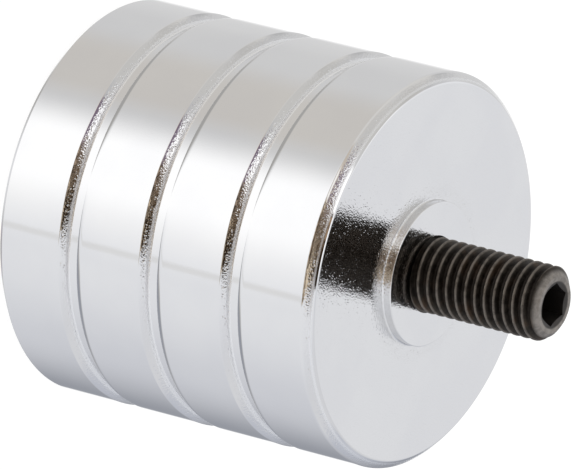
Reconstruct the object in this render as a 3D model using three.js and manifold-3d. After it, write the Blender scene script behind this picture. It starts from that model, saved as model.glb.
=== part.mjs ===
// Stage weight: four chromed steel discs screwed together front to back by hidden set screws,
// with a longer set screw standing out of the front disc as the mounting stud.
// Millimetres, +Z up along the common axis, origin at the centre of the rear face.
import * as THREE from "three";
import { mergeVertices } from "three/addons/utils/BufferGeometryUtils.js";
import Module from "manifold-3d";

const wasm = await Module();
wasm.setup();

// Disc sizes. The front disc is a little thicker than the three behind it.
const disc_radius = 31.5;
const disc_body_height = 12.8;
const front_disc_body_height = 13.4;
const middle_disc_names = ["lower_middle_disc", "upper_middle_disc"];

// Neck behind each disc but the rearmost, which leaves the groove between two discs
const neck_height = 2.4;
const neck_inset = 2;

// Chamfers on the rims: the two ends of the weight, and the two sides of each groove
const front_chamfer = 1.5;
const rear_chamfer = 1;
const groove_rear_side_chamfer = 1.05;
const groove_front_side_chamfer = 0.55;

// Boss round the mounting stud
const boss_radius = 11.5;
const boss_height = 1.5;
const boss_foot_radius = 0.6;
const boss_edge_radius = 0.3;

// Metric thread, coarse pitch
const thread_radius = 6;
const thread_pitch = 1.75;
const thread_depth = 1.07;
const thread_crest_width = 0.22;
const thread_root_width = 0.44;

// Set screws
const mounting_screw_length = 30;
const mounting_screw_grip = 5.8;
const joining_screw_names = ["lower_joining_screw", "middle_joining_screw", "upper_joining_screw"];
const joining_screw_length = 12;
const joining_screw_grip = 6;
const screw_end_radius = 4.5;
const screw_end_bevel = 1.15;
const hex_across_flats = 6;
const mounting_socket_depth = 8;
const joining_socket_depth = 5;

// Tapped holes, drawn as plain bores outside the thread
const bore_clearance = 0.05;
const bore_countersink = 0.5;
const blind_hole_spare = 1.5;

// Overrun of cutting bodies past what they cut, and turns of thread made to be cut off each end
const cut_overrun = 1;
const spare_turns = 2;

// Facets
const disc_facets = 72;
const thread_facets = 24;
const fillet_steps = 2;
const hex_sides = 6;

// Places worked out from the sizes
const disc_pitch = disc_body_height + neck_height;
const neck_radius = disc_radius - neck_inset;
const bore_radius = (thread_radius + bore_clearance) / Math.cos(Math.PI / disc_facets);
const thread_root_radius = thread_radius - thread_depth;

const chrome_look = { color: 0xd2d3d5, roughness: 0.08, metalness: 1 };
const black_oxide_look = { color: 0x2a2724, roughness: 0.5, metalness: 0.8 };

// A quarter round from one end of its arc to the other, as profile points
function arc_points(centre_r, centre_z, radius, start_angle, end_angle) {
  const points = [];
  for (let step = 0; step <= fillet_steps; step += 1) {
    const angle = start_angle + ((end_angle - start_angle) * step) / fillet_steps;
    points.push([centre_r + radius * Math.cos(angle), centre_z + radius * Math.sin(angle)]);
  }
  return points;
}

// A solid of revolution about Z from [radius, height] points that run up the outside
function turned_solid(points, facets) {
  const profile = points.map(([radius, height]) => new THREE.Vector2(radius, height));
  const geometry = new THREE.LatheGeometry(profile, facets);
  geometry.rotateX(Math.PI / 2);
  return geometry;
}

// The outside of a disc's body between two heights, with a chamfer at each end
function body_points(rear_z, front_z, rear_cut, front_cut) {
  return [
    [disc_radius - rear_cut, rear_z],
    [disc_radius, rear_z + rear_cut],
    [disc_radius, front_z - front_cut],
    [disc_radius - front_cut, front_z],
  ];
}

// The outside of a disc whose neck stands on z = 0
function necked_points(body_height, front_cut) {
  const front_z = neck_height + body_height;
  return [
    [neck_radius, 0],
    [neck_radius, neck_height],
    ...body_points(neck_height, front_z, groove_front_side_chamfer, front_cut),
  ];
}

// The boss on a front face, from its filleted foot to its rounded top edge
function boss_points(face_z) {
  const foot_r = boss_radius + boss_foot_radius;
  const foot_z = face_z + boss_foot_radius;
  const top_r = boss_radius - boss_edge_radius;
  const top_z = face_z + boss_height - boss_edge_radius;
  return [
    ...arc_points(foot_r, foot_z, boss_foot_radius, -Math.PI / 2, -Math.PI),
    ...arc_points(top_r, top_z, boss_edge_radius, 0, Math.PI / 2),
  ];
}

// The wall of a through bore, from its front mouth down to its rear mouth
function through_bore_points(front_z) {
  return [
    [bore_radius + bore_countersink, front_z],
    [bore_radius, front_z - bore_countersink],
    [bore_radius, bore_countersink],
    [bore_radius + bore_countersink, 0],
  ];
}

// The rearmost disc: plain rear face, blind tapped hole in the front
function base_disc() {
  const hole_floor_z = disc_body_height - joining_screw_grip - blind_hole_spare;
  return turned_solid(
    [
      [0, 0],
      ...body_points(0, disc_body_height, rear_chamfer, groove_rear_side_chamfer),
      [bore_radius + bore_countersink, disc_body_height],
      [bore_radius, disc_body_height - bore_countersink],
      [bore_radius, hole_floor_z],
      [0, hole_floor_z],
    ],
    disc_facets,
  );
}

// A middle disc: neck at the rear, tapped through
function middle_disc() {
  const outside = necked_points(disc_body_height, groove_rear_side_chamfer);
  return turned_solid([...outside, ...through_bore_points(disc_pitch), outside[0]], disc_facets);
}

// The front disc: neck at the rear, boss on the front, tapped through
function front_disc() {
  const outside = necked_points(front_disc_body_height, front_chamfer);
  const face_z = neck_height + front_disc_body_height;
  const wall = through_bore_points(face_z + boss_height);
  return turned_solid([...outside, ...boss_points(face_z), ...wall, outside[0]], disc_facets);
}

// A closed three.js mesh as a solid for cutting and joining
function solid_from(geometry) {
  geometry.deleteAttribute("normal");
  geometry.deleteAttribute("uv");
  const merged = mergeVertices(geometry);
  return new wasm.Manifold(
    new wasm.Mesh({
      numProp: 3,
      vertProperties: new Float32Array(merged.attributes.position.array),
      triVerts: new Uint32Array(merged.index.array),
    }),
  );
}

function geometry_from(solid) {
  const mesh = solid.getMesh();
  const geometry = new THREE.BufferGeometry();
  geometry.setAttribute("position", new THREE.BufferAttribute(mesh.vertProperties, mesh.numProp));
  geometry.setIndex(new THREE.BufferAttribute(mesh.triVerts, 1));
  geometry.computeVertexNormals();
  return geometry;
}

// One pitch of the thread as [radius, height] points: crest, flank, root, flank
function thread_profile() {
  const flank = (thread_pitch - thread_crest_width - thread_root_width) / 2;
  return [
    [thread_radius, 0],
    [thread_radius, thread_crest_width],
    [thread_root_radius, thread_crest_width + flank],
    [thread_root_radius, thread_crest_width + flank + thread_root_width],
  ];
}

// A right-hand threaded bar from below z = 0 to above the given length, closed at both ends.
// Its rows of points follow the helix, so the seam joins a row to the one a pitch higher.
function threaded_bar(length) {
  const profile = thread_profile();
  const rows_per_pitch = profile.length;
  const turns = Math.ceil(length / thread_pitch) + 2 * spare_turns;
  const row_count = turns * rows_per_pitch + 1;
  const start_z = -spare_turns * thread_pitch;
  const positions = [];
  for (let row = 0; row < row_count; row += 1) {
    const [radius, height] = profile[row % rows_per_pitch];
    const row_z = start_z + Math.floor(row / rows_per_pitch) * thread_pitch + height;
    for (let column = 0; column < thread_facets; column += 1) {
      const turn = column / thread_facets;
      const angle = turn * 2 * Math.PI;
      const z = row_z + turn * thread_pitch;
      positions.push(radius * Math.cos(angle), radius * Math.sin(angle), z);
    }
  }
  const last_column = thread_facets - 1;
  const top_row = row_count - 1;
  const top_seam_row = top_row - rows_per_pitch;
  const point_at = (row, column) =>
    column <= last_column
      ? row * thread_facets + column
      : (row + rows_per_pitch) * thread_facets + column - thread_facets;
  const faces = [];
  for (let row = 0; row < top_row; row += 1) {
    // The last column has nothing to join in the topmost turn
    const column_count = row < top_seam_row ? thread_facets : last_column;
    for (let column = 0; column < column_count; column += 1) {
      const here = point_at(row, column);
      const beside = point_at(row, column + 1);
      const above = point_at(row + 1, column);
      const above_beside = point_at(row + 1, column + 1);
      faces.push(here, beside, above_beside, here, above_beside, above);
    }
  }
  // Each end is a fan from the axis to the end row and to the step of one pitch at the seam
  const low_centre = row_count * thread_facets;
  const high_centre = low_centre + 1;
  positions.push(0, 0, start_z);
  positions.push(0, 0, start_z + turns * thread_pitch);
  for (let column = 0; column < thread_facets; column += 1) {
    faces.push(low_centre, point_at(0, column + 1), point_at(0, column));
  }
  for (let row = 0; row < rows_per_pitch; row += 1) {
    faces.push(low_centre, point_at(row, 0), point_at(row + 1, 0));
  }
  for (let column = 0; column < last_column; column += 1) {
    faces.push(high_centre, point_at(top_row, column), point_at(top_row, column + 1));
  }
  for (let row = top_seam_row; row < top_row; row += 1) {
    faces.push(high_centre, point_at(row + 1, last_column), point_at(row, last_column));
  }
  faces.push(high_centre, point_at(top_seam_row, last_column), point_at(top_row, 0));
  const geometry = new THREE.BufferGeometry();
  geometry.setAttribute("position", new THREE.Float32BufferAttribute(positions, 3));
  geometry.setIndex(faces);
  return geometry;
}

// A hexagon socket set screw standing on z = 0 with its socket upwards, bevelled at both ends
function set_screw(length, socket_depth) {
  // The bevels' cones run on past the thread by the overrun
  const envelope_radius = thread_radius + cut_overrun;
  const bevel_slope = screw_end_bevel / (thread_radius - screw_end_radius);
  const bevel_height = (envelope_radius - screw_end_radius) * bevel_slope;
  const envelope = turned_solid(
    [
      [0, 0],
      [screw_end_radius, 0],
      [envelope_radius, bevel_height],
      [envelope_radius, length - bevel_height],
      [screw_end_radius, length],
      [0, length],
    ],
    thread_facets,
  );
  const hex_radius = hex_across_flats / 2 / Math.cos(Math.PI / hex_sides);
  const socket_height = socket_depth + cut_overrun;
  const socket = new THREE.CylinderGeometry(hex_radius, hex_radius, socket_height, hex_sides);
  socket.rotateX(Math.PI / 2);
  socket.translate(0, 0, length - socket_depth + socket_height / 2);
  const bar = solid_from(threaded_bar(length));
  return geometry_from(bar.intersect(solid_from(envelope)).subtract(solid_from(socket)));
}

const stage_weight = new THREE.Group();

function add_piece(name, geometry, look, z) {
  const piece = new THREE.Mesh(geometry, new THREE.MeshStandardMaterial(look));
  piece.name = name;
  piece.position.z = z;
  stage_weight.add(piece);
}

// Height of the front face of one of the three rear discs, counted from the rearmost
function disc_front_z(index) {
  return disc_body_height + index * disc_pitch;
}

add_piece("base_disc", base_disc(), chrome_look, 0);
middle_disc_names.forEach((name, place) => {
  add_piece(name, middle_disc(), chrome_look, disc_front_z(place));
});
const front_disc_z = disc_front_z(middle_disc_names.length);
add_piece("front_disc", front_disc(), chrome_look, front_disc_z);

joining_screw_names.forEach((name, place) => {
  const screw = set_screw(joining_screw_length, joining_socket_depth);
  add_piece(name, screw, black_oxide_look, disc_front_z(place) - joining_screw_grip);
});

const stud = set_screw(mounting_screw_length, mounting_socket_depth);
const face_z = front_disc_z + neck_height + front_disc_body_height;
const stud_z = face_z - mounting_screw_grip;
add_piece("mounting_stud", stud, black_oxide_look, stud_z);

export default stage_weight;
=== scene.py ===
# Looks of the stage weight: polished chrome discs and a black oxide set screw, seen as in the
# photograph. Metres, +Z along the common axis, rear face on z = 0.
import math

import bpy
from mathutils import Matrix, Vector


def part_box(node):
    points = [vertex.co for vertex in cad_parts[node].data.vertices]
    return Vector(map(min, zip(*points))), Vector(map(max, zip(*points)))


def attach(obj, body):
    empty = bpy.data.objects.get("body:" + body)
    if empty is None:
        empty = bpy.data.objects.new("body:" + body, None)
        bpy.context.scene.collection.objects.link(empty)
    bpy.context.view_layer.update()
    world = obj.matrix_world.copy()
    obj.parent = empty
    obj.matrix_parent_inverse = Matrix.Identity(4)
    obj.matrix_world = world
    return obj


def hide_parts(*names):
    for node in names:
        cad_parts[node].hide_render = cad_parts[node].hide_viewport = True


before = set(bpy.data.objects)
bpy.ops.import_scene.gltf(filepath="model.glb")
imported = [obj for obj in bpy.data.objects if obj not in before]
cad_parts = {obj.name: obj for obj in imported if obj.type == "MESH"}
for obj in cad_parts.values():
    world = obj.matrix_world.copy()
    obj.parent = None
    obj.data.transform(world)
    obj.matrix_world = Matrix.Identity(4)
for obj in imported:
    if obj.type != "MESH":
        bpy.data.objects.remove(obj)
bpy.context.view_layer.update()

mm = 0.001

# Camera: the front face's centre lies at this place in the photograph, which is 573 by 470 pixels
photo_width = 573
photo_height = 470
face_centre_px = (424.15, 272.25)
pixels_per_disc_radius = 203.4
camera_distance = 1.6457
sensor_width = 36.0
axis_tilt = math.radians(57.93)
camera_roll = math.radians(14.13)
camera_turn = math.radians(19.0)

# Sizes read from the frame
disc_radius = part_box("base_disc")[1].x
base_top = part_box("base_disc")[1].z
lower_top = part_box("lower_middle_disc")[1].z
upper_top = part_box("upper_middle_disc")[1].z
boss_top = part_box("front_disc")[1].z
stud_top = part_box("mounting_stud")[1].z
disc_pitch = lower_top - base_top

# Edges of the discs. A crowned bevel turns by its swell, in degrees, on each side of its own slope,
# and a large rounding takes its share of the room that it has.
front_bevel = dict(axial=1.5 * mm, radial=1.5 * mm, swell=5.0, outer=0.9 * mm, inner=0.55 * mm)
groove_bevel = dict(axial=1.05 * mm, radial=1.15 * mm, swell=4.5, outer=0.2 * mm, inner=0.01 * mm)
rounding_share = 0.9
rear_bevel = 1.0 * mm
groove_edge_length = 0.5 * mm
groove_edge_slope = math.radians(26)
neck_height = 2.4 * mm
neck_inset = 1.35 * mm
neck_foot_slope = math.radians(52)
neck_root = 0.2 * mm
fine_corner = 0.12 * mm
tiny_corner = 0.01 * mm

# Set screws
thread_radius = 6.0 * mm
thread_pitch = 1.75 * mm
thread_depth = 0.9 * mm
crest_share = 0.11
root_share = 0.22
flank_rounding = 0.45
screw_end_radius = 4.5 * mm
screw_end_bevel = 1.15 * mm
hex_across_flats = 6.0 * mm
mounting_socket_depth = 8.0 * mm
joining_socket_depth = 5.0 * mm
socket_mouth_radius = 3.75 * mm
socket_mouth_depth = 0.35 * mm
drill_radius = hex_across_flats / 2 * 0.98
drill_point_depth = 1.6 * mm

# Boss and bores
boss_radius = 11.5 * mm
boss_height = 1.5 * mm
face_z = boss_top - boss_height
boss_foot = 0.28 * mm
boss_edge = 0.16 * mm
bore_clearance = 0.05 * mm
bore_radius = thread_radius + bore_clearance
bore_mouth_bevel = 0.1 * mm
bore_edge = 0.08 * mm
blind_hole_depth = 7.5 * mm

# Bands of a noise that lies about 0.5
middle_band = (0.35, 0.65)
wide_band = (0.3, 0.7)

# Colours of the chrome, its clouds, and the dull corner under each groove's bevel, which is painted
# lighter and bluish as a painted light band
chrome_dark = (0.79, 0.79, 0.80, 1.0)
chrome_light = (0.81, 0.81, 0.815, 1.0)
chrome_dull_painted_light = (0.92, 0.925, 0.94, 1.0)
chrome_roughness = (0.03, 0.05)
cloud_scale = 90.0
dull_roughness = 0.36
dull_corner_z = base_top - 0.08 * mm
dull_corner_radius = disc_radius - 1.2 * mm
dull_reach = (0.26 * mm, 0.46 * mm)

# Grain of the chrome: its strength on each part of a disc, and the radii where it changes
wall_grain = 0.06
face_grain = 0.95
bevel_grain = 1.75
boss_foot_grain = 1.9
boss_foot_roughness = 0.1
boss_foot_radii = [boss_radius + off * mm for off in (0.05, 0.2, 1.9, 3.7)]
bevel_radii = (disc_radius - 1.7 * mm, disc_radius - 1.4 * mm)
wall_radii = (disc_radius - 0.45 * mm, disc_radius - 0.08 * mm)
neck_radii = (disc_radius - 1.8 * mm, disc_radius - 1.6 * mm)
neck_rise = (0.1 * mm, 0.4 * mm)

# Waves, ripples and pits in the chrome. A pit's depth goes by chance from none to full.
wave_scale = 160.0
wave_height = 1.0e-5
ripple_scale = 3400.0
ripple_height = 2.4e-5
pit_scale = 3000.0
pit_depth = 1.5e-5
pit_slope = (0.1, 0.55)
pit_chance = (0.3, 1.0)

# Surface of the set screws: black oxide in two mottled shades, with brown patches
oxide_metallic = 0.9
oxide_roughness = (0.4, 0.56)
oxide_dark = (0.028, 0.0238, 0.02, 1.0)
oxide_light = (0.064, 0.054, 0.045, 1.0)
mottle_scale = 900.0
mottle_band = (0.35, 0.7)
patch_colour = (0.105, 0.062, 0.036, 1.0)
patch_strength = 0.55
patch_scale = 260.0
patch_band = (0.52, 0.72)
grit_scale = 5200.0
grit_height = 1.6e-5

# Painted shade: darker thread roots, and darker flanks where the normal's Z lies below these values
root_shade_colour = (0.012, 0.01, 0.009, 1.0)
root_shade_strength = 0.6
root_shade_radii = (thread_radius - thread_depth, thread_radius - 0.35 * mm)
painted_shade_colour = (0.008, 0.007, 0.006, 1.0)
painted_shade_strength = 0.65
painted_shade_facing = (-0.5, -0.05)

# Lighter crests: wear, with a painted highlight that is least where the normal points down, and less
# where the mottle is dark
wear_and_highlight_colour = (0.26, 0.232, 0.205, 1.0)
wear_and_highlight_strength = 0.8
wear_and_highlight_radii = (thread_radius - 0.3 * mm, thread_radius - 0.02 * mm)
highlight_facing = (-0.4, 0.1)
highlight_facing_least = 0.3
wear_and_highlight_mottle_band = (0.3, 0.6)
wear_and_highlight_mottle_least = 0.45

# Socket, and the lighter end round it
socket_colour = (0.07, 0.066, 0.064, 1.0)
socket_radii = (3.6 * mm, 3.9 * mm)
end_dark = (0.25, 0.23, 0.21, 1.0)
end_light = (0.4, 0.37, 0.34, 1.0)
end_heights = (stud_top - 0.9 * mm, stud_top - 0.3 * mm)
socket_end_strength = 0.85

# Floor
floor_reach = 6.0
floor_paint = 0.9
floor_glow = 1.22
floor_lift = 0.72

# Mesh fineness
disc_segments = 256
thread_columns = 120
thread_row_step = 0.07 * mm
arc_step = math.radians(6.0)
sharp_angle = math.radians(33.0)
axis_reach = 1e-7


def turned(vector, angle):
    """A vector turned about Z."""
    return Matrix.Rotation(angle, 3, "Z") @ Vector(vector)


# Directions of the photograph: along its rows, up its columns, and back from the object to the camera
axis_sin, axis_cos = math.sin(axis_tilt), math.cos(axis_tilt)
roll_sin, roll_cos = math.sin(camera_roll), math.cos(camera_roll)
view_back = turned((0.0, -axis_sin, axis_cos), camera_turn)
along_axis = turned((0.0, axis_cos, axis_sin), camera_turn)
across_axis = turned((1.0, 0.0, 0.0), camera_turn)
view_right = roll_cos * along_axis - roll_sin * across_axis
view_up = -roll_sin * along_axis - roll_cos * across_axis
near_side = turned((0.0, -1.0, 0.0), camera_turn)
upper_side = turned((-1.0, 0.0, 0.0), camera_turn)


def add_camera():
    """The camera, rolled so that the standing weight lies as in the photograph."""
    data = bpy.data.cameras.new("photo_camera")
    camera = bpy.data.objects.new("photo_camera", data)
    bpy.context.scene.collection.objects.link(camera)
    metres_per_pixel = disc_radius / pixels_per_disc_radius
    right_px = photo_width / 2 - face_centre_px[0]
    up_px = face_centre_px[1] - photo_height / 2
    face_centre = Vector((0.0, 0.0, face_z))
    place = face_centre + camera_distance * view_back
    place += metres_per_pixel * (right_px * view_right + up_px * view_up)
    turn = Matrix((view_right, view_up, view_back)).transposed().to_4x4()
    camera.matrix_world = Matrix.Translation(place) @ turn
    data.sensor_fit = "HORIZONTAL"
    data.sensor_width = sensor_width
    data.lens = camera_distance / metres_per_pixel / photo_width * sensor_width
    data.clip_start = 0.05
    data.clip_end = 20.0
    bpy.context.scene.camera = camera


# Node helpers


class Nodes:
    """Short calls that add nodes to a tree and link them."""

    def __init__(self, tree):
        self.tree = tree

    def add(self, kind, **settings):
        node = self.tree.nodes.new(kind)
        for name, value in settings.items():
            setattr(node, name, value)
        return node

    def plug(self, value, socket):
        if isinstance(value, bpy.types.NodeSocket):
            self.tree.links.new(value, socket)
        else:
            socket.default_value = value

    def math(self, operation, *values):
        node = self.add("ShaderNodeMath", operation=operation)
        for value, socket in zip(values, node.inputs):
            self.plug(value, socket)
        return node.outputs[0]

    def dot(self, vector, direction):
        node = self.add("ShaderNodeVectorMath", operation="DOT_PRODUCT")
        self.plug(vector, node.inputs[0])
        node.inputs[1].default_value = direction
        return node.outputs["Value"]

    def smooth(self, value, low, high, low_value=0.0, high_value=1.0):
        node = self.add("ShaderNodeMapRange", interpolation_type="SMOOTHSTEP")
        for item, socket in zip((value, low, high, low_value, high_value), node.inputs):
            self.plug(item, socket)
        return node.outputs[0]

    def window(self, value, edges):
        """1 between the middle two of four rising edges, fading to 0 at the outer two."""
        rise = self.smooth(value, float(edges[0]), float(edges[1]))
        fall = self.smooth(value, float(edges[2]), float(edges[3]), 1.0, 0.0)
        return self.math("MULTIPLY", rise, fall)

    def mix(self, share, first, second):
        node = self.add("ShaderNodeMix", data_type="RGBA")
        self.plug(share, node.inputs["Factor"])
        colours = [socket for socket in node.inputs if socket.type == "RGBA"]
        self.plug(first, colours[0])
        self.plug(second, colours[1])
        return [socket for socket in node.outputs if socket.type == "RGBA"][0]

    def mix_shaders(self, share, first, second):
        node = self.add("ShaderNodeMixShader")
        for item, socket in zip((share, first, second), node.inputs):
            self.plug(item, socket)
        return node.outputs[0]

    def noise(self, vector, scale, detail=2.0, roughness=0.5):
        node = self.add("ShaderNodeTexNoise")
        self.plug(vector, node.inputs["Vector"])
        node.inputs["Scale"].default_value = scale
        node.inputs["Detail"].default_value = detail
        node.inputs["Roughness"].default_value = roughness
        return node.outputs["Fac"]

    def bump(self, height, distance, normal=None):
        node = self.add("ShaderNodeBump")
        self.plug(height, node.inputs["Height"])
        node.inputs["Strength"].default_value = 1.0
        node.inputs["Distance"].default_value = distance
        if normal is not None:
            self.plug(normal, node.inputs["Normal"])
        return node.outputs[0]

    def hypotenuse(self, first, second):
        squares = self.math("MULTIPLY", first, first), self.math("MULTIPLY", second, second)
        return self.math("SQRT", self.math("ADD", *squares))


def new_nodes(owner):
    """Turns nodes on in a world or material, and clears them."""
    owner.use_nodes = True
    owner.node_tree.nodes.clear()
    return Nodes(owner.node_tree)


def grey(level, tint=(1.0, 1.0, 1.0)):
    return tuple(level * share for share in tint) + (1.0,)


def scaled(colour, share):
    return tuple(level * share for level in colour[:3]) + (1.0,)


# Studio round the weight, as pieces of sky in degrees. Azimuth 0 is the camera's side, and positive
# azimuths lie towards the top of the photograph. A piece fades in over the first two of its four
# azimuths or elevations and out over the last two, and lies over the pieces before it.
warm = (1.0, 0.985, 0.955)
cool = (0.975, 0.985, 1.01)
pale_blue = (0.98, 1.0, 1.06)
bluish = (0.93, 0.97, 1.08)
from_below = (-110, -100)
to_above = (100, 110)


def sky_piece(azimuths, elevations, colour, cluttered=False):
    return dict(azimuths=azimuths, elevations=elevations, colour=colour, cluttered=cluttered)


studio_pieces = [
    # lower side of the room
    sky_piece((-178, -150, -60, -30), (*from_below, *to_above), grey(0.72, pale_blue)),
    # wall above the weight, and patches on it
    sky_piece((46, 62, 84, 108), (*from_below, 20, 50), (0.68, 0.655, 0.62, 1.0)),
    sky_piece((50, 58, 72, 80), (36, 41, 53, 57), grey(0.6)),
    sky_piece((68, 76, 108, 118), (27, 33, 51, 57), grey(0.655, warm)),
    sky_piece((102, 110, 122, 128), (6, 14, 34, 42), grey(0.6, warm)),
    sky_piece((122, 127, 134, 142), (-4, 4, 24, 32), grey(0.54)),
    sky_piece((54, 61, 122, 132), (-16, -8, 14, 24), grey(0.76, warm)),
    sky_piece((126, 142, 158, 174), (*from_below, -6, 10), grey(0.74)),
    sky_piece((112, 124, 164, 174), (41, 49, 70, 78), grey(1.2)),
    # fill light below the camera, fading into the shaded end of the room
    sky_piece((-112, -44, -30, 2), (*from_below, *to_above), grey(0.92, cool)),
    sky_piece((-176, -160, -100, -70), (-6, 6, 60, 80), grey(0.8, cool)),
    sky_piece((-176, -160, -128, -108), (-6, 6, 22, 34), grey(0.62, bluish)),
    sky_piece((160, 172, 190, 198), (*from_below, -6, 10), grey(1.0)),
    sky_piece((-174, -166, -163, -101), (*from_below, -8, 16), grey(0.36, bluish)),
    # big soft box, and the thin gap beside it
    sky_piece((-42, 4, 27, 51), (*from_below, -14, 5), grey(1.24)),
    sky_piece((-35, -32.5, -31.5, -29), (*from_below, 0, 10), grey(0.84)),
    # shade far below, with a bright gap under the soft box and a lighter place at the far side
    sky_piece((40, 62, 298, 316), (-100, -95, -50, -38), grey(0.44, warm)),
    sky_piece((180, 200, 280, 305), (-100, -95, -54, -39), grey(0.38, bluish)),
    sky_piece((138, 152, 208, 222), (-100, -95, -58, -50), grey(0.86, cool)),
    # cluttered dark side of the room behind the camera, and lighter places in it
    sky_piece((-34, -31, 42, 50), (-6, 4, 74, 82), (0.38, 0.31, 0.23, 1.0), cluttered=True),
    sky_piece((-36, -32, 34, 40), (50, 58, 76, 82), (0.13, 0.088, 0.056, 1.0), cluttered=True),
    sky_piece((22, 29, 54, 62), (-4, 6, 47, 51), (0.64, 0.57, 0.49, 1.0)),
    sky_piece((23, 28, 40, 48), (4, 10, 32, 39), grey(1.1, warm)),
    sky_piece((-14, -7, 14, 24), (6, 14, 42, 47), (0.14, 0.1, 0.07, 1.0), cluttered=True),
    sky_piece((-32, -27, -16, -10), (33, 39, 47, 52), (0.75, 0.62, 0.46, 1.0)),
    sky_piece((3, 9, 22, 28), (40, 46, 62, 68), (0.14, 0.105, 0.078, 1.0), cluttered=True),
    sky_piece((25, 30, 57, 63), (42, 46, 52, 55), (0.23, 0.18, 0.24, 1.0)),
    sky_piece((-42, -36, -10, -2), (50, 55, 72, 80), (0.03, 0.02, 0.012, 1.0)),
    # ceiling light
    sky_piece((30, 35, 64, 72), (52, 55, 82, 88), grey(1.35)),
]
room_level = 0.72
clutter_scale = 19.0
clutter_edges = (0.47, 0.64)
clutter_dark = 0.3
clutter_light = 3.2
overhead_elevations = (79.0, 85.0)
overhead_level = 1.7
far_wall_turn = 45.0
far_wall_upper = 0.98
far_wall_lower = 0.76
far_wall_azimuths = (-60, -30, 30, 60)
far_wall_elevations = (6.0, 24.0)


def degrees_from(nodes, azimuth, middle):
    """Degrees past the middle azimuth, from -180 to 180."""
    return nodes.math("WRAP", nodes.math("SUBTRACT", azimuth, middle), 180.0, -180.0)


def add_sky_piece(nodes, azimuth, elevation, clutter, colour, part):
    """The colour so far, with one more piece of sky over it."""
    middle = (part["azimuths"][1] + part["azimuths"][2]) / 2
    off = degrees_from(nodes, azimuth, middle)
    wide = nodes.window(off, [edge - middle for edge in part["azimuths"]])
    tall = nodes.window(elevation, part["elevations"])
    own = part["colour"]
    if part["cluttered"]:
        own = nodes.mix(clutter, scaled(own, clutter_dark), scaled(own, clutter_light))
    return nodes.mix(nodes.math("MULTIPLY", wide, tall), colour, own)


def add_far_wall(nodes, azimuth, elevation, colour):
    """The wall opposite the camera, which darkens from the upper side to the lower one."""
    off = degrees_from(nodes, azimuth, 180.0)
    level = nodes.smooth(off, -far_wall_turn, far_wall_turn, far_wall_upper, far_wall_lower)
    wide = nodes.window(off, far_wall_azimuths)
    mask = nodes.math("MULTIPLY", wide, nodes.smooth(elevation, *far_wall_elevations))
    return nodes.mix(mask, colour, nodes.mix(level, grey(0.0), grey(1.0, cool)))


def studio_colour(nodes):
    """Colour of the studio in every direction."""
    direction = nodes.add("ShaderNodeTexCoord").outputs["Generated"]
    across = nodes.dot(direction, upper_side)
    towards = nodes.dot(direction, near_side)
    height = nodes.dot(direction, (0.0, 0.0, 1.0))
    azimuth = nodes.math("DEGREES", nodes.math("ARCTAN2", across, towards))
    elevation = nodes.math("DEGREES", nodes.math("ARCSINE", height))
    clutter = nodes.smooth(nodes.noise(direction, clutter_scale), *clutter_edges)
    colour = grey(room_level)
    for part in studio_pieces:
        colour = add_sky_piece(nodes, azimuth, elevation, clutter, colour, part)
    colour = add_far_wall(nodes, azimuth, elevation, colour)
    overhead = nodes.smooth(elevation, *overhead_elevations)
    return nodes.mix(overhead, colour, grey(overhead_level))


def build_world():
    """The studio, which the camera itself sees as plain white."""
    world = bpy.data.worlds.new("studio")
    bpy.context.scene.world = world
    nodes = new_nodes(world)
    light = nodes.add("ShaderNodeBackground")
    nodes.plug(studio_colour(nodes), light.inputs["Color"])
    white = nodes.add("ShaderNodeBackground")
    white.inputs["Color"].default_value = grey(1.0)
    seen = nodes.add("ShaderNodeLightPath").outputs["Is Camera Ray"]
    chosen = nodes.mix_shaders(seen, light.outputs[0], white.outputs[0])
    nodes.plug(chosen, nodes.add("ShaderNodeOutputWorld").inputs["Surface"])


# Materials


def new_material(name):
    """A material, its nodes and shader, and a point's place, distance from the axis and height."""
    material = bpy.data.materials.new(name)
    nodes = new_nodes(material)
    shader = nodes.add("ShaderNodeBsdfPrincipled")
    nodes.plug(shader.outputs[0], nodes.add("ShaderNodeOutputMaterial").inputs["Surface"])
    place = nodes.add("ShaderNodeTexCoord").outputs["Object"]
    split = nodes.add("ShaderNodeSeparateXYZ")
    nodes.plug(place, split.inputs[0])
    x, y, height = split.outputs
    return material, nodes, shader, place, nodes.hypotenuse(x, y), height


def groove_zones(nodes, radius, height):
    """Where the plating is dull and painted lighter as a painted light band, in the corner under each
    groove's bevel, and where the necks are.
    """
    above = nodes.math("SUBTRACT", height, dull_corner_z)
    above = nodes.math("WRAP", above, disc_pitch / 2, -disc_pitch / 2)
    inward = nodes.math("SUBTRACT", radius, dull_corner_radius)
    dull_and_painted_light = nodes.smooth(nodes.hypotenuse(above, inward), *dull_reach, 1.0, 0.0)
    off_bevel = nodes.smooth(above, *neck_rise)
    on_neck = nodes.math("MULTIPLY", off_bevel, nodes.smooth(radius, *neck_radii))
    return dull_and_painted_light, on_neck


def grained_normal(nodes, place, coarse):
    """Normal with wide waves, and with ripples and pits as deep as the plating is coarse."""
    waves = nodes.bump(nodes.noise(place, wave_scale, detail=1.0), wave_height)
    ripple = nodes.math("SUBTRACT", nodes.noise(place, ripple_scale, detail=1.5), 0.5)
    rippled = nodes.bump(nodes.math("MULTIPLY", ripple, coarse), ripple_height, waves)
    pits = nodes.add("ShaderNodeTexVoronoi", feature="F1")
    nodes.plug(place, pits.inputs["Vector"])
    pits.inputs["Scale"].default_value = pit_scale
    bowl = nodes.smooth(pits.outputs["Distance"], *pit_slope)
    chance = nodes.dot(pits.outputs["Color"], (1.0, 0.0, 0.0))
    depth = nodes.smooth(chance, *pit_chance)
    hollow = nodes.math("MULTIPLY", nodes.math("SUBTRACT", bowl, 1.0), depth)
    return nodes.bump(nodes.math("MULTIPLY", hollow, coarse), pit_depth, rippled)


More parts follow.
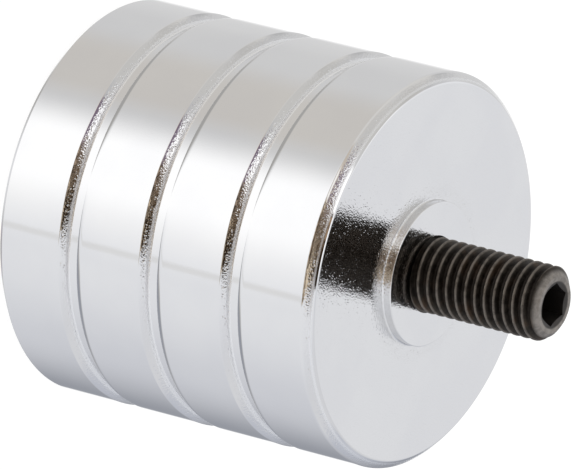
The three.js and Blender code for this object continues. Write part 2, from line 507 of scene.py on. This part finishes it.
def chrome_material():
    """Bright chrome with faint clouds, and a painted light band in the dull corner under each
    groove's bevel. The wall and the necks are polished finest.
    """
    material, nodes, shader, place, radius, height = new_material("polished_chrome")
    shader.inputs["Metallic"].default_value = 1.0
    dull_and_painted_light, on_neck = groove_zones(nodes, radius, height)
    on_wall = nodes.smooth(radius, *wall_radii)
    boss_side = nodes.window(radius, boss_foot_radii)
    cloud = nodes.noise(place, cloud_scale, detail=3.0)
    colour = nodes.mix(nodes.smooth(cloud, *middle_band), chrome_dark, chrome_light)
    # Painted light: the dull corner gets a lighter, bluish colour
    nodes.plug(nodes.mix(dull_and_painted_light, colour, chrome_dull_painted_light), shader.inputs["Base Color"])
    roughness = nodes.smooth(cloud, *wide_band, *chrome_roughness)
    for zone, extra in ((dull_and_painted_light, dull_roughness), (boss_side, boss_foot_roughness)):
        roughness = nodes.math("ADD", roughness, nodes.math("MULTIPLY", zone, extra))
    nodes.plug(roughness, shader.inputs["Roughness"])
    coarse = nodes.smooth(radius, *bevel_radii, face_grain, bevel_grain)
    coarse = nodes.math("ADD", coarse, nodes.math("MULTIPLY", boss_side, boss_foot_grain))
    less_polished = nodes.math("SUBTRACT", 1.0, nodes.math("MAXIMUM", on_neck, on_wall))
    coarse = nodes.math("MAXIMUM", nodes.math("MULTIPLY", coarse, less_polished), wall_grain)
    nodes.plug(grained_normal(nodes, place, coarse), shader.inputs["Normal"])
    return material


def black_oxide_material():
    """Mottled black oxide with brown patches, painted shade in the thread roots and on the flanks
    facing -Z, worn crests with a painted highlight, and a lighter end.
    """
    material, nodes, shader, place, radius, height = new_material("black_oxide")
    shader.inputs["Metallic"].default_value = oxide_metallic
    mottle = nodes.noise(place, mottle_scale, detail=4.0, roughness=0.6)
    facing = nodes.dot(nodes.add("ShaderNodeTexCoord").outputs["Normal"], (0.0, 0.0, 1.0))
    outside = nodes.smooth(radius, *socket_radii)
    colour = nodes.mix(nodes.smooth(mottle, *mottle_band), oxide_dark, oxide_light)
    patches = nodes.noise(place, patch_scale, detail=3.0)
    patches = nodes.smooth(patches, *patch_band, 0.0, patch_strength)
    colour = nodes.mix(patches, colour, patch_colour)
    # Painted shade in the thread roots
    root = nodes.smooth(radius, *root_shade_radii, root_shade_strength, 0.0)
    colour = nodes.mix(nodes.math("MULTIPLY", root, outside), colour, root_shade_colour)
    # Painted shade on the flanks that face -Z
    painted_shade = nodes.smooth(facing, *painted_shade_facing, painted_shade_strength, 0.0)
    colour = nodes.mix(nodes.math("MULTIPLY", painted_shade, outside), colour, painted_shade_colour)
    # Lighter crests: wear, with a painted highlight on the flanks that face +Z
    wear_and_highlight = nodes.smooth(radius, *wear_and_highlight_radii, 0.0, wear_and_highlight_strength)
    highlight_side = nodes.smooth(facing, *highlight_facing, highlight_facing_least, 1.0)
    wear_and_highlight = nodes.math("MULTIPLY", wear_and_highlight, highlight_side)
    uneven = nodes.smooth(mottle, *wear_and_highlight_mottle_band, wear_and_highlight_mottle_least, 1.0)
    wear_and_highlight = nodes.math("MULTIPLY", wear_and_highlight, uneven)
    colour = nodes.mix(wear_and_highlight, colour, wear_and_highlight_colour)
    inside = nodes.math("SUBTRACT", 1.0, outside)
    colour = nodes.mix(nodes.math("MULTIPLY", inside, socket_end_strength), colour, socket_colour)
    end = nodes.math("MULTIPLY", nodes.smooth(height, *end_heights), outside)
    end_colour = nodes.mix(nodes.smooth(mottle, *middle_band), end_dark, end_light)
    colour = nodes.mix(nodes.math("MULTIPLY", end, socket_end_strength), colour, end_colour)
    nodes.plug(colour, shader.inputs["Base Color"])
    roughness = nodes.smooth(mottle, *wide_band, *oxide_roughness)
    nodes.plug(roughness, shader.inputs["Roughness"])
    grit = nodes.bump(nodes.noise(place, grit_scale), grit_height)
    nodes.plug(grit, shader.inputs["Normal"])
    return material


def floor_material():
    """Pale paint, lifted to white for the camera, and clear from below and in reflections."""
    material = bpy.data.materials.new("pale_floor")
    nodes = new_nodes(material)
    path = nodes.add("ShaderNodeLightPath")
    paint = nodes.add("ShaderNodeBsdfDiffuse")
    paint.inputs["Color"].default_value = grey(floor_paint)
    glow = nodes.add("ShaderNodeEmission")
    glow.inputs["Color"].default_value = grey(1.0)
    glow.inputs["Strength"].default_value = floor_glow
    lift = nodes.math("MULTIPLY", path.outputs["Is Camera Ray"], floor_lift)
    lit = nodes.mix_shaders(lift, paint.outputs[0], glow.outputs[0])
    clear = nodes.add("ShaderNodeBsdfTransparent")
    behind = nodes.add("ShaderNodeNewGeometry").outputs["Backfacing"]
    unseen = nodes.math("MAXIMUM", path.outputs["Is Glossy Ray"], behind)
    chosen = nodes.mix_shaders(unseen, lit, clear.outputs[0])
    nodes.plug(chosen, nodes.add("ShaderNodeOutputMaterial").inputs["Surface"])
    return material


# Meshes


def mesh_object(name, points, normals, faces, material):
    """A smooth object, with the given normals or else with the edges past an angle sharp."""
    mesh = bpy.data.meshes.new(name)
    mesh.from_pydata(points, [], faces)
    mesh.polygons.foreach_set("use_smooth", [True] * len(mesh.polygons))
    if normals is None:
        mesh.set_sharp_from_angle(angle=sharp_angle)
    else:
        mesh.normals_split_custom_set_from_vertices(normals)
    mesh.materials.append(material)
    mesh.update()
    obj = bpy.data.objects.new(name, mesh)
    bpy.context.scene.collection.objects.link(obj)
    return obj


def faces_between(rings, closed=False):
    """Faces between each ring of point numbers and the next. A ring of one point ends a fan."""
    pairs = list(zip(rings, rings[1:]))
    if closed:
        pairs.append((rings[-1], rings[0]))
    faces = []
    for low, high in pairs:
        count = max(len(low), len(high))
        for here in range(count):
            beside = (here + 1) % count
            if len(low) == 1:
                faces.append((low[0], high[beside], high[here]))
            elif len(high) == 1:
                faces.append((low[here], low[beside], high[0]))
            else:
                faces.append((low[here], low[beside], high[beside], high[here]))
    return faces


def rounded_outline(corners, closed):
    """Points and outward normals along (radius, height, rounding) corners that run up the outside."""
    count = len(corners)
    points, normals = [], []
    for index, (r, z, rounding) in enumerate(corners):
        here = Vector((r, z))
        before = Vector(corners[index - 1][:2])
        after = Vector(corners[(index + 1) % count][:2])
        at_end = not closed and index in (0, count - 1)
        if at_end:
            heading = (after - here if index == 0 else here - before).normalized()
            points.append((here.x, here.y))
            normals.append((heading.y, -heading.x))
            continue
        come, leave = (here - before).normalized(), (after - here).normalized()
        swing = math.atan2(come.x * leave.y - come.y * leave.x, come.dot(leave))
        reach = rounding * math.tan(abs(swing) / 2)
        start = here - come * reach
        side = math.copysign(1.0, swing)
        centre = start + side * rounding * Vector((-come.y, come.x))
        first = math.atan2(come.y, come.x)
        steps = max(2, math.ceil(abs(swing) / arc_step))
        for step in range(steps + 1):
            heading = first + swing * step / steps
            out = Vector((math.sin(heading), -math.cos(heading)))
            place = centre + side * rounding * out
            points.append((place.x, place.y))
            normals.append((out.x, out.y))
    return points, normals


def turned_object(name, corners, closed, material):
    """A solid of revolution from an outline, closed round a bore or ending on the axis."""
    outline, outline_normals = rounded_outline(corners, closed)
    points, normals, rings = [], [], []
    for (r, z), (out_r, out_z) in zip(outline, outline_normals):
        on_axis = r < axis_reach
        flat = 0.0 if on_axis else out_r
        start = len(points)
        for segment in range(1 if on_axis else disc_segments):
            angle = 2 * math.pi * segment / disc_segments
            points.append((r * math.cos(angle), r * math.sin(angle), z))
            normals.append((flat * math.cos(angle), flat * math.sin(angle), out_z))
        rings.append(range(start, len(points)))
    return mesh_object(name, points, normals, faces_between(rings, closed), material)


def bevel_corners(front_z, bevel):
    """The front edge of a disc: a crowned bevel between two roundings."""
    axial, radial, swell = bevel["axial"], bevel["radial"], math.radians(bevel["swell"])
    half_chord = math.hypot(axial, radial) / 2
    crown = half_chord * math.tan(swell)
    out_r, out_z = crown * axial / (2 * half_chord), crown * radial / (2 * half_chord)
    slope = math.atan2(radial, axial)
    taken = bevel["outer"] * math.tan((slope - swell) / 2)
    rounding = (half_chord / math.cos(swell) - taken) * rounding_share / math.tan(swell)
    return [
        (disc_radius, front_z - axial, bevel["outer"]),
        (disc_radius - radial / 2 + out_r, front_z - axial / 2 + out_z, rounding),
        (disc_radius - radial, front_z, bevel["inner"]),
    ]


def rear_rim_corners():
    """The rear edge of the weight."""
    return [(disc_radius - rear_bevel, 0.0, fine_corner), (disc_radius, rear_bevel, fine_corner)]


def neck_corners(rear_z):
    """The neck that a disc stands on, from its flared foot, and the rounded edge over it."""
    neck_radius = disc_radius - neck_inset
    foot_reach = neck_inset - groove_bevel["radial"]
    foot_rise = foot_reach / math.tan(neck_foot_slope)
    foot_rounding = math.hypot(foot_reach, foot_rise) / math.tan(neck_foot_slope / 2)
    shoulder_z = rear_z + neck_height
    edge_drop = groove_edge_length * math.tan(groove_edge_slope)
    edge_room = groove_edge_length / math.cos(groove_edge_slope)
    edge_rounding = rounding_share * edge_room / math.tan(groove_edge_slope / 2)
    return [
        (neck_radius + foot_reach, rear_z, tiny_corner),
        (neck_radius, rear_z + foot_rise, foot_rounding),
        (neck_radius, shoulder_z, neck_root),
        (disc_radius - edge_drop, shoulder_z, tiny_corner),
        (disc_radius, shoulder_z + groove_edge_length, edge_rounding),
    ]


def bore_mouth_corners(front_z):
    """The bevel at a bore's front end."""
    mouth = (bore_radius + bore_mouth_bevel, front_z, bore_edge)
    return [mouth, (bore_radius, front_z - bore_mouth_bevel, bore_edge)]


def bore_corners(front_z, rear_z):
    """The wall of a through bore, from its front mouth down to its rear mouth."""
    return [
        *bore_mouth_corners(front_z),
        (bore_radius, rear_z + bore_mouth_bevel, bore_edge),
        (bore_radius + bore_mouth_bevel, rear_z, bore_edge),
    ]


def base_corners():
    """The rearmost disc, with a blind hole."""
    hole_z = base_top - blind_hole_depth
    return [
        (0.0, 0.0, 0.0),
        *rear_rim_corners(),
        *bevel_corners(base_top, groove_bevel),
        *bore_mouth_corners(base_top),
        (bore_radius, hole_z, fine_corner),
        (0.0, hole_z, 0.0),
    ]


def middle_corners(front_z):
    """A middle disc, which stands on the disc behind it."""
    rear_z = front_z - disc_pitch
    edge = bevel_corners(front_z, groove_bevel)
    return [*neck_corners(rear_z), *edge, *bore_corners(front_z, rear_z)]


def front_corners():
    """The front disc, with its boss."""
    edge = bevel_corners(face_z, front_bevel)
    boss = [(boss_radius, face_z, boss_foot), (boss_radius, boss_top, boss_edge)]
    return [*neck_corners(upper_top), *edge, *boss, *bore_corners(boss_top, upper_top)]


def smoothstep(value):
    value = min(1.0, max(0.0, value))
    return value * value * (3.0 - 2.0 * value)


def thread_radius_at(phase):
    """Radius of the thread at a share of its pitch from the middle of a crest."""
    off = abs((phase + 0.5) % 1.0 - 0.5)
    crest = crest_share / 2
    root = 0.5 - root_share / 2
    fall = min(1.0, max(0.0, (off - crest) / (root - crest)))
    drop = flank_rounding * smoothstep(fall) + (1.0 - flank_rounding) * fall
    return thread_radius - thread_depth * drop


def hexagon_radius(share):
    """Distance from the axis to the hexagon's wall at a share of a turn."""
    sector = (2 * math.pi * share - math.pi / 2) % (math.pi / 3) - math.pi / 6
    return hex_across_flats / 2 / math.cos(sector)


turn_shares = [column / thread_columns for column in range(thread_columns)]


def add_ring(points, radii, heights):
    """Adds one point at each share of a turn, and gives their numbers."""
    start = len(points)
    for share, r, z in zip(turn_shares, radii, heights):
        angle = 2 * math.pi * share
        points.append((r * math.cos(angle), r * math.sin(angle), z))
    return range(start, len(points))


def add_level_ring(points, radii, z):
    return add_ring(points, radii, [z] * thread_columns)


def thread_rings(points, foot_z, length):
    """Right-hand thread, cut off by a bevel at each end."""
    rows = round(length / thread_row_step)
    slope = (thread_radius - screw_end_radius) / screw_end_bevel
    rings = []
    for row in range(rows + 1):
        along = length * row / rows
        limit = screw_end_radius + slope * min(along, length - along)
        phases = [along / thread_pitch - share for share in turn_shares]
        radii = [min(limit, thread_radius_at(phase)) for phase in phases]
        rings.append(add_level_ring(points, radii, foot_z + along))
    return rings


def socket_rings(points, top, socket_depth):
    """Countersunk mouth and six walls, down to a round drilled hole."""
    round_mouth = [socket_mouth_radius] * thread_columns
    walls = [hexagon_radius(share) for share in turn_shares]
    drilled = [drill_radius] * thread_columns
    slope = socket_mouth_depth / (socket_mouth_radius - hex_across_flats / 2)
    wall_tops = [top - (socket_mouth_radius - r) * slope for r in walls]
    return [
        add_level_ring(points, round_mouth, top),
        add_ring(points, walls, wall_tops),
        add_level_ring(points, walls, top - socket_depth),
        add_level_ring(points, drilled, top - socket_depth),
    ]


def screw_object(name, foot_z, top, socket_depth, material):
    """A set screw with a hexagon socket at its top, which ends in a drilled point."""
    points = [(0.0, 0.0, foot_z), (0.0, 0.0, top - socket_depth - drill_point_depth)]
    wall = thread_rings(points, foot_z, top - foot_z)
    socket = socket_rings(points, top, socket_depth)
    faces = faces_between([[0], *wall, *socket, [1]])
    return mesh_object(name, points, None, faces, material)


# Pieces


def add_floor():
    low, high = -floor_reach, floor_reach
    corners = [(low, low, 0.0), (high, low, 0.0), (high, high, 0.0), (low, high, 0.0)]
    floor = mesh_object("floor", corners, None, [(0, 1, 2, 3)], floor_material())


def dress(piece, node, body):
    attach(piece, body)
    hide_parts(node)


def add_discs(chrome):
    outlines = {
        "base_disc": ("base", base_corners(), False),
        "lower_middle_disc": ("lower_middle", middle_corners(lower_top), True),
        "upper_middle_disc": ("upper_middle", middle_corners(upper_top), True),
        "front_disc": ("front", front_corners(), True),
    }
    for node, (body, corners, closed) in outlines.items():
        piece = turned_object("polished_" + node, corners, closed, chrome)
        dress(piece, node, body)


def add_screws(oxide):
    screws = {
        "lower_joining_screw": ("lower_screw", joining_socket_depth),
        "middle_joining_screw": ("middle_screw", joining_socket_depth),
        "upper_joining_screw": ("upper_screw", joining_socket_depth),
        "mounting_stud": ("front", mounting_socket_depth),
    }
    for node, (body, socket_depth) in screws.items():
        low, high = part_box(node)
        piece = screw_object("threaded_" + node, low.z, high.z, socket_depth, oxide)
        dress(piece, node, body)


add_camera()
build_world()
add_floor()
add_discs(chrome_material())
add_screws(black_oxide_material())

bpy.context.scene.view_settings.view_transform = "Standard"
